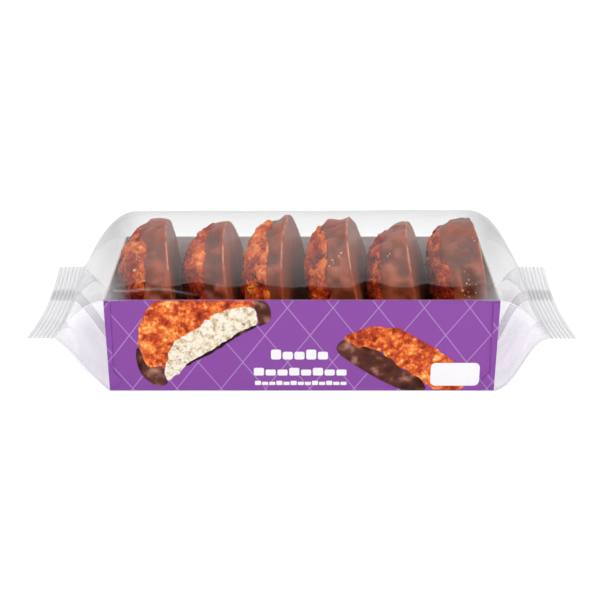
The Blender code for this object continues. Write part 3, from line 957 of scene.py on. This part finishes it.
def build_coat(macaroon, material):
    """The chocolate coat: flat base, crisp edge, draped side and a thin uneven lip."""
    angle = ring_angles(COAT_SIDES)
    lip = macaroon.lip_line(angle)
    ring = polar(1.0, angle, macaroon.index)
    rim = macaroon.radius(angle) + 0.5 * MM * soft_noise(ring, 0.2, 55)
    rim = rim + 0.5 * MM * soft_noise(ring, 0.06, 57)
    spread = np.linspace(0.08, 1.0, BASE_RINGS)[:, None]
    bend = np.linspace(0.0, np.pi / 2, EDGE_RINGS)[1:, None]
    climb = np.linspace(0.0, 1.0, CLIMB_RINGS)[1:, None]
    base_reach = rim - EDGE_RADIUS
    side_height = EDGE_RADIUS + (lip - EDGE_RADIUS) * climb
    outer = np.concatenate([
        polar(base_reach * spread, angle, 0.0),
        polar(base_reach + EDGE_RADIUS * np.sin(bend), angle, EDGE_RADIUS * (1.0 - np.cos(bend))),
        polar(macaroon.shell(angle, side_height), angle, side_height)])
    reach, height = reach_and_angle(outer)[0], outer[..., 2]

    # Folds of the drape, with the coconut's lumps showing through near the lip
    spots = outer / MM + 43.0 * macaroon.index
    on_side = smooth_step(0.2 * MM, 2.5 * MM, height)
    near_lip = smooth_step(5.0 * MM, 0.0, lip - height)
    drape = 1.6 * soft_noise(spots, 9.0, 51) + 2.0 * soft_noise(spots, 5.0, 52)
    drape = drape + 0.6 * soft_noise(spots, 2.6, 53)
    drape = drape * (1.0 - 0.6 * bell(turn_between(angle, -4), 0.0, 26.0))
    drape = drape * (1.0 - 0.5 * near_lip)
    large, _, _ = lumps(outer / MM + NOISE_SHIFT * macaroon.index)
    push = on_side * (drape + 0.5 * near_lip * (large + 0.4) + 0.1)
    deep = np.minimum(push + 0.3, 0.0)
    push = push - deep - 0.45 * (1.0 - np.exp(deep / 0.45))
    push = push + 0.4 * bell(height, 0.7 * MM, 1.0 * MM) * (reach > rim * 0.9)
    flat = (height < EDGE_RADIUS * 0.5) * 0.18 * soft_noise(spots, 12.0, 54)
    outer = outer + polar(1.0, angle, 0.0) * (push * MM)[..., None]
    outer[..., 2] += flat * MM
    macaroon.coat = outer[BASE_RINGS:]

    # Rolled lip and inner wall
    roll = outer[-1:] - polar(COAT_WALL * 0.45, angle, -0.3 * MM)
    down = np.linspace(0.0, 1.0, INNER_RINGS)[:, None]
    inner_height = (lip - 0.1 * MM) + (2.6 * MM - lip) * down
    inner_reach = macaroon.shell(angle, inner_height) - COAT_WALL * 1.1 - 1.0 * MM * down ** 0.5
    rings = np.concatenate([outer, roll, polar(inner_reach, angle, inner_height)])
    ends = [(0.0, 0.0, outer[0, :, 2].mean()), (0.0, 0.0, 2.4 * MM)]
    world = macaroon.to_world(np.concatenate([rings.reshape(-1, 3), ends]))

    # Wear with a painted highlight, and thin spots, along the base's edge, and the relief that the
    # material turns into painted shade and highlight
    outside = reach_and_angle(rings)[0] > rim - 0.75 * MM
    wear_and_highlight = outside * bell(rings[..., 2], 0.35 * MM, 0.26 * MM)
    wear_and_highlight = wear_and_highlight * np.clip(0.5 + 1.3 * soft_noise(rings / MM, 3.0, 56), 0.0, 1.0)
    thin = outside * bell(rings[..., 2], 1.3 * MM, 1.1 * MM)
    relief = np.full(rings.shape[:2], BASE_RELIEF_LIGHT)
    relief[:len(outer)] += on_side * (np.clip(drape, -1.2, 1.2) - BASE_RELIEF_LIGHT)
    return mesh_object(f"dip_{macaroon.index}", world, domed_faces(*rings.shape[:2]), material,
                       fields={"wear_and_highlight": wear_and_highlight, "thin": thin, "relief": relief})


SHREDS = 190
SHRED_STEPS = 6
# Ranges of a shred's length and half width in millimetres, its tilt, and its bend and sway
SHRED_SPANS = ((2.0, 5.0), (0.35, 0.75), (-0.1, 0.25), (-0.9, 0.1), (-0.8, 0.8))
# Stray crumbs on the chocolate: angle, height in millimetres, size in millimetres
CRUMBS = {
    1: ((-46, 13.6, 1.3), (-49, 12.6, 0.8), (-40, 12.0, 0.7)),
    2: ((-58, 4.0, 0.5),),
    4: ((-36, 3.6, 1.2), (-38, 4.6, 0.9), (-42, 8.2, 1.2), (-44, 9.2, 0.9), (-41, 7.0, 0.7),
        (-47, 8.0, 0.6)),
    5: ((-30, 9.0, 1.0), (-27, 8.2, 0.7)),
    6: ((-52, 8.0, 0.7), (-56, 7.0, 0.6), (-59, 8.6, 0.8), (-61, 6.4, 0.6), (-64, 9.6, 0.9),
        (-66, 7.6, 0.7), (-68, 5.4, 0.6), (-70, 9.0, 0.8), (-63, 4.4, 0.5), (-72, 6.8, 0.7),
        (-22, 2.2, 0.8), (-19, 1.9, 0.6)),
}


def build_shreds(macaroons, material):
    """Loose-ended coconut shreds over every dome, joined into one mesh."""
    draw = np.random.default_rng(SEED)
    share = np.linspace(0.0, 1.0, SHRED_STEPS)[:, None, None]
    taper = 0.45 + 0.55 * np.sin(np.pi * (0.12 + 0.76 * share))
    verts, toast_and_shade_parts = [], []
    for left, macaroon in zip([None, *macaroons], macaroons):
        angle = draw.uniform(0, 2 * np.pi, SHREDS)
        low = np.clip((macaroon.lip_line(angle) + 0.5 * MM) / macaroon.thick, 0.0, 0.97)
        height = macaroon.dome_height(low, draw.uniform(0.0, 1.0, SHREDS) ** 1.3 * 0.95)
        spots = polar(macaroon.shell(angle, height), angle, height)
        normal = (spots - np.array([0.0, 0.0, macaroon.thick * 0.25])) * np.array([1.0, 1.0, 1.6])
        normal /= np.linalg.norm(normal, axis=1, keepdims=True)
        rise, toast_and_shade = crags(spots, macaroon.index)
        side = np.cross(normal, draw.normal(size=(SHREDS, 3)))
        side /= np.linalg.norm(side, axis=1, keepdims=True)
        along = np.cross(side, normal)
        length, wide, tilt, bend, sway = (draw.uniform(*span, SHREDS)[:, None]
                                          for span in SHRED_SPANS)
        lift = rise[:, None] + 0.1 + tilt * (share - 0.3) * length + bend * (2 * share - 1) ** 2
        push = along * (share - 0.5) * length + side * sway * np.sin(np.pi * share)
        middle = spots + (normal * lift + push) * MM
        half, thick = side * wide * taper * MM, normal * taper * 0.24 * MM
        rings = np.stack([middle - half, middle + thick, middle + half, middle - thick], axis=2)
        world = macaroon.to_world(rings.swapaxes(0, 1).reshape(-1, 3), 0.1 * MM)
        varied = 0.4 * (draw.uniform(0, 1, SHREDS) ** 1.5 - 0.35)
        # Toast at random, with the painted crease shade of the shred's root and painted shade low
        # in the tray
        tone = toast_and_shade + TOASTED[macaroon.index] - 0.05 + varied
        toast_and_shade_parts.append(np.repeat(tone, SHRED_STEPS * 4) + low_painted_shade(world))
        verts.append(clear_of(world, left) if left else world)
    each = np.arange(SHREDS * len(macaroons))[:, None, None] * SHRED_STEPS * 4
    faces = (np.array(tube_faces(SHRED_STEPS, 4)) + each).reshape(-1, 4).tolist()
    return mesh_object("coconut_shreds", np.concatenate(verts), faces, material,
                       fields={"toast_and_shade": np.concatenate(toast_and_shade_parts)})


ICOSAHEDRON_FACES = (
    (0, 11, 5), (0, 5, 1), (0, 1, 7), (0, 7, 10), (0, 10, 11), (1, 5, 9), (5, 11, 4),
    (11, 10, 2), (10, 7, 6), (7, 1, 8), (3, 9, 4), (3, 4, 2), (3, 2, 6), (3, 6, 8),
    (3, 8, 9), (4, 9, 5), (2, 4, 11), (6, 2, 10), (8, 6, 7), (9, 8, 1),
)


def icosahedron():
    """The twelve corners of a small regular solid with twenty faces."""
    long = (1.0 + math.sqrt(5.0)) / 2.0
    corners = [(-1, long, 0), (1, long, 0), (-1, -long, 0), (1, -long, 0),
               (0, -1, long), (0, 1, long), (0, -1, -long), (0, 1, -long),
               (long, 0, -1), (long, 0, 1), (-long, 0, -1), (-long, 0, 1)]
    return np.array(corners) / math.hypot(1.0, long)


def build_crumbs(macaroons, material):
    """Small pale crumbs stuck to the chocolate, joined into one mesh."""
    draw = np.random.default_rng(SEED + 1)
    verts, faces = [], []
    for macaroon in macaroons:
        for degrees, height, size in CRUMBS.get(macaroon.index, ()):
            angle = math.radians(degrees + draw.uniform(-2.0, 2.0))
            height = height + draw.uniform(-0.8, 0.8)
            centre = polar(macaroon.coat_reach(angle, height * MM), angle, height * MM)
            block = icosahedron() * size * MM * draw.uniform(0.3, 0.6, 3)
            turn = np.array(Matrix.Rotation(draw.uniform(0, math.pi), 3, "Z")
                            @ Matrix.Rotation(draw.uniform(0, math.pi), 3, "X"))
            faces += (np.array(ICOSAHEDRON_FACES) + len(block) * len(verts)).tolist()
            verts.append(macaroon.to_world(block @ turn.T + centre))
    return mesh_object("coconut_crumbs", np.concatenate(verts), faces, material, smooth=False)


# Print shapes on the tray's front

PRINT_LIFT = 0.05 * MM
PRINT_THICK = 0.03 * MM


def print_shape(name, outline, material, lift):
    """A flat printed field on the tray's front, from an outline in millimetres along X and Z."""
    x, z = np.array(outline, dtype=float).T * MM
    z = np.clip(z, 0.12 * MM, TRAY_TOP - 0.08 * MM)
    front = np.column_stack([x, np.full(len(x), TRAY_FRONT - lift), z])
    verts = np.concatenate([front, front + np.array([0.0, PRINT_THICK, 0.0])])
    piece = mesh_object(name, verts, tube_faces(2, len(x)), material, smooth=False)
    shape = bmesh.new()
    shape.from_mesh(piece.data)
    bmesh.ops.recalc_face_normals(shape, faces=shape.faces)
    shape.to_mesh(piece.data)
    shape.free()
    return piece


def rounded_box(x0, x1, z0, z1, corner, steps=8):
    """Outline of a box with round corners."""
    points = []
    for cx, cz, start in ((x1 - corner, z1 - corner, 0), (x0 + corner, z1 - corner, 90),
                          (x0 + corner, z0 + corner, 180), (x1 - corner, z0 + corner, 270)):
        for i in range(steps + 1):
            turn = math.radians(start + 90 * i / steps)
            points.append((cx + corner * math.cos(turn), cz + corner * math.sin(turn)))
    return points


def rounded_line(points, rounds=2):
    """A closed outline with its corners cut softly."""
    line = np.asarray(points, dtype=float)
    for _ in range(rounds):
        after = np.roll(line, -1, axis=0)
        line = np.stack([0.75 * line + 0.25 * after, 0.25 * line + 0.75 * after], axis=1)
        line = line.reshape(-1, 2)
    return line


def ragged_line(points, amount, seed):
    """A closed outline cut into short steps and roughened sideways."""
    line = rounded_line(points, 1)
    fine = []
    for here, there in zip(line, np.roll(line, -1, axis=0)):
        count = max(int(np.linalg.norm(there - here) / 0.55), 1)
        for i in range(count):
            fine.append(here + (there - here) * i / count)
    fine = np.array(fine)
    along = np.roll(fine, -1, axis=0) - np.roll(fine, 1, axis=0)
    along /= np.maximum(np.linalg.norm(along, axis=1, keepdims=True), 1e-9)
    out = np.column_stack([along[:, 1], -along[:, 0]])
    spots = np.column_stack([fine, np.zeros(len(fine))])
    wave = soft_noise(spots, 2.2, seed) + 0.7 * soft_noise(spots, 1.0, seed + 1)
    return fine + out * (amount * wave)[:, None]


# Outlines of the drawn macaroons in millimetres along and up the tray's front
CUT_CRUST = ((-19.5, 42), (-58.1, 42), (-62.3, 38.4), (-65.2, 32.8), (-66.9, 29.4), (-66.6, 26),
             (-67.6, 21.4), (-66, 17.9), (-64.8, 12.7), (-62.8, 10.6), (-58.6, 11.5),
             (-56.5, 9.8), (-55.2, 13.8), (-54.1, 19.1), (-51.9, 22.5), (-46.7, 26),
             (-42, 28.5), (-38.3, 32.8), (-33.2, 35.6), (-27, 37.3), (-22, 38.9), (-18.9, 37.8))
CUT_CRUMB = ((-55, 16.2), (-54.1, 19.6), (-51.9, 23.1), (-46.7, 26.5), (-42, 29.1),
             (-38.3, 33.3), (-33.1, 36.1), (-27, 37.8), (-21.9, 39.4), (-18.7, 37.3),
             (-17.5, 32.8), (-18.6, 30.2), (-24.7, 27.1), (-31.5, 22.5), (-36.7, 18.5),
             (-42, 15.6), (-47.2, 12.1), (-52.1, 6.8), (-53.7, 5.6), (-55.9, 3.9),
             (-57.3, 7.4), (-56, 11.5))
CUT_DIP_LEFT = ((-67.4, 20.8), (-68.4, 16.8), (-67.9, 11.5), (-66.1, 6.8), (-63.2, 3.9),
                (-59.6, 2), (-57, 2.4), (-55.3, 3.9), (-57.3, 6.8), (-56.5, 9.8),
                (-58.6, 11.5), (-62.8, 10.6), (-64.8, 12.7), (-66, 17.9))
CUT_DIP_RIGHT = ((-19.6, 42), (-15.4, 41.3), (-13.1, 39.2), (-12.3, 35), (-12.9, 32.2),
                 (-15.5, 30.5), (-18.3, 29.5), (-17.6, 32.8), (-18.5, 36.1), (-19.2, 38.4))
CUT_DIP_EDGE = ((-18, 29.8), (-24.7, 26.2), (-31.5, 21.4), (-36.7, 17.9), (-42, 14.7),
                (-48.3, 11.2), (-47.2, 12.7), (-41.9, 16.1), (-36.7, 19.1), (-31.4, 23.1),
                (-24.7, 27.7), (-18.6, 30.8))
WHOLE_CRUST = ((16.6, 24.2), (19.6, 26.5), (25.7, 29.1), (31.3, 29.9), (37.9, 29.1),
               (42.5, 27.4), (47.3, 24), (54.1, 20.8), (60, 15.6), (63.2, 13.3), (66.6, 8),
               (67.6, 0), (55.6, 0), (51.8, 3.3), (45.9, 6.8), (43.2, 9.8), (40.1, 10.9),
               (37.3, 15), (34.7, 15.6), (32.6, 18.5), (28, 19.1), (25.9, 20.2), (22.3, 19.1),
               (21.3, 21.4))
WHOLE_DIP = ((16.9, 24), (14.6, 21.4), (14, 19.1), (16.2, 16.2), (22.5, 11.5), (30.4, 6.2),
             (36.7, 2.7), (42, 0), (51.9, 0), (51.3, 2.1), (49, 6.2), (45.4, 7.4),
             (44.3, 9.2), (41.7, 9.8), (39.5, 11.5), (37.3, 15), (34.7, 15.6), (32.1, 18.5),
             (28, 19.6), (25.9, 20.8), (22.6, 19.6), (21.2, 21.7))
# Rows of plain blocks: left and right end, foot, height, and how many blocks
BLOCK_ROWS = ((-12.7, 11.4, 14.6, 4.6, 5), (-19.9, 19.2, 7.1, 3.6, 8),
              (-19.5, 19.0, 2.6, 2.0, 13))
# Left and right end, foot and top of the label
LABEL = (53.3, 73.6, 2.3, 13.0)


def build_print(materials):
    """Two drawn macaroons, rows of plain blocks and a plain label."""
    shapes = [
        ("print_cut_crust", ragged_line(CUT_CRUST, 0.35, 61), "crust", 1.0),
        ("print_cut_crumb", ragged_line(CUT_CRUMB, 0.5, 63), "crumb", 1.4),
        ("print_cut_dip_1", rounded_line(CUT_DIP_LEFT), "dip", 1.8),
        ("print_cut_dip_2", rounded_line(CUT_DIP_RIGHT), "dip", 1.8),
        ("print_cut_dip_3", ragged_line(CUT_DIP_EDGE, 0.3, 65), "edge", 1.8),
        ("print_whole_crust", ragged_line(WHOLE_CRUST, 0.35, 67), "crust", 1.0),
        ("print_whole_dip", rounded_line(WHOLE_DIP), "dip", 1.4),
    ]
    for row, (x0, x1, foot, tall, count) in enumerate(BLOCK_ROWS, 1):
        pitch = (x1 - x0) / count
        for i in range(count):
            left = x0 + i * pitch
            high = tall * (1.0 if i * 2 % 5 < 2 else 0.78)
            outline = rounded_box(left, left + pitch * 0.86, foot, foot + high, 0.18 * tall, 4)
            shapes.append((f"print_block_{row}_{i + 1}", outline, "white", 2.2))
    shapes.append(("print_label", rounded_box(*LABEL, 2.2), "white", 2.2))
    pieces = [print_shape(name, outline, materials[ink], PRINT_LIFT * layer)
              for name, outline, ink, layer in shapes]
    return pieces


# Stage

def build_floor():
    nodes = Nodes("floor_white")
    grain = nodes.noise(nodes.place(), 3.0, 2.0)
    color = nodes.ramp(grain, [(0.0, (0.48, 0.48, 0.48)), (1.0, (0.5, 0.5, 0.5))])
    material = nodes.finish(Base_Color=color, Roughness=0.9, Specular_IOR_Level=0.0,
                            Emission_Color=(1.0, 1.0, 1.0, 1.0), Emission_Strength=0.62)
    corners = [(x * FLOOR_REACH, y * FLOOR_REACH, -FLOOR_DROP)
               for x, y in ((-1, -1), (1, -1), (1, 1), (-1, 1))]
    floor = mesh_object("floor", corners, [(0, 1, 2, 3)], material, smooth=False)
    floor.visible_glossy = False


def add_light(name, place, width, power):
    """A square light that faces the pack."""
    lamp = bpy.data.lights.new(name, "AREA")
    lamp.size = width
    lamp.energy = power
    light = add_object(name, lamp)
    light.location = place
    toward_pack = Vector(LIGHT_TARGET) - Vector(place)
    light.rotation_euler = toward_pack.to_track_quat("-Z", "Y").to_euler()
    light.visible_glossy = False


def build_stage():
    scene = bpy.context.scene
    build_floor()
    camera = add_object("camera", bpy.data.cameras.new("camera"))
    camera.data.lens = CAMERA_LENS
    camera.data.sensor_width = 36.0
    camera.location = CAMERA_PLACE
    camera.rotation_euler = (math.radians(CAMERA_TILT), 0.0, 0.0)
    scene.camera = camera

    nodes = Nodes("studio", bpy.data.worlds)
    direction = nodes.add("TexCoord").outputs["Generated"]
    parts = nodes.add("SeparateXYZ", {0: direction}).outputs
    height = nodes.add("MapRange", {"From Min": -1.0, "Value": parts["Z"]}).outputs[0]
    skies = [nodes.ramp(height, [(place, (level,) * 3) for place, level in levels])
             for levels in (SKY_FRONT, SKY_BACK)]
    turn = nodes.add("MapRange", {"From Min": -0.45, "From Max": 0.25, "Value": parts["Y"]},
                     interpolation_type="SMOOTHSTEP").outputs[0]
    background = nodes.tree.nodes["Background"]
    nodes.set(background.inputs["Strength"], 1.0)
    nodes.set(background.inputs["Color"], nodes.mix(turn, *skies))
    scene.world = nodes.owner

    add_light("key", (-0.45, -0.5, 0.8), 0.3, 5.2)
    add_light("fill", (0.75, -0.5, 0.45), 0.5, 4.6)
    scene.view_settings.view_transform = "Standard"


def main():
    build_stage()
    film = film_material()
    wrap = build_film(film)
    seam = build_seam(film)
    for piece in (wrap, seam):
        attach(piece, "root")
    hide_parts("film_bag")

    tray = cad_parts["tray"]
    tray.data.materials.clear()
    tray.data.materials.append(card_material())
    inks = {
        "crust": crust_print_material(),
        "crumb": grain_material("crumb_print", CRUMB_NOISE, CRUMB_STOPS),
        "dip": grain_material("dip_print", DIP_NOISE, DIP_STOPS),
        "edge": grain_material("dip_edge_print", DIP_NOISE, DIP_STOPS, 0.3),
        "white": plain_material("white_print", rgb(244, 243, 245)),
    }
    for piece in build_print(inks):
        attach(piece, "root")

    coconut = coconut_material("baked_coconut")
    shred = coconut_material("coconut_shred", -0.08)
    pale = plain_material("pale_crumb", rgb(236, 190, 150))
    chocolate = chocolate_material()
    macaroons = [Macaroon(index) for index in range(1, 7)]
    for left, macaroon in zip([None, *macaroons], macaroons):
        body = build_body(macaroon, left, coconut)
        coat = build_coat(macaroon, chocolate)
        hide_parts(f"macaroon_{macaroon.index}")
        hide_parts(f"chocolate_{macaroon.index}")
        for piece, slot in ((body, "baked_coconut"), (coat, "milk_chocolate")):
            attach(piece, "root")
    for piece in (build_shreds(macaroons, shred), build_crumbs(macaroons, pale)):
        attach(piece, "root")


main()
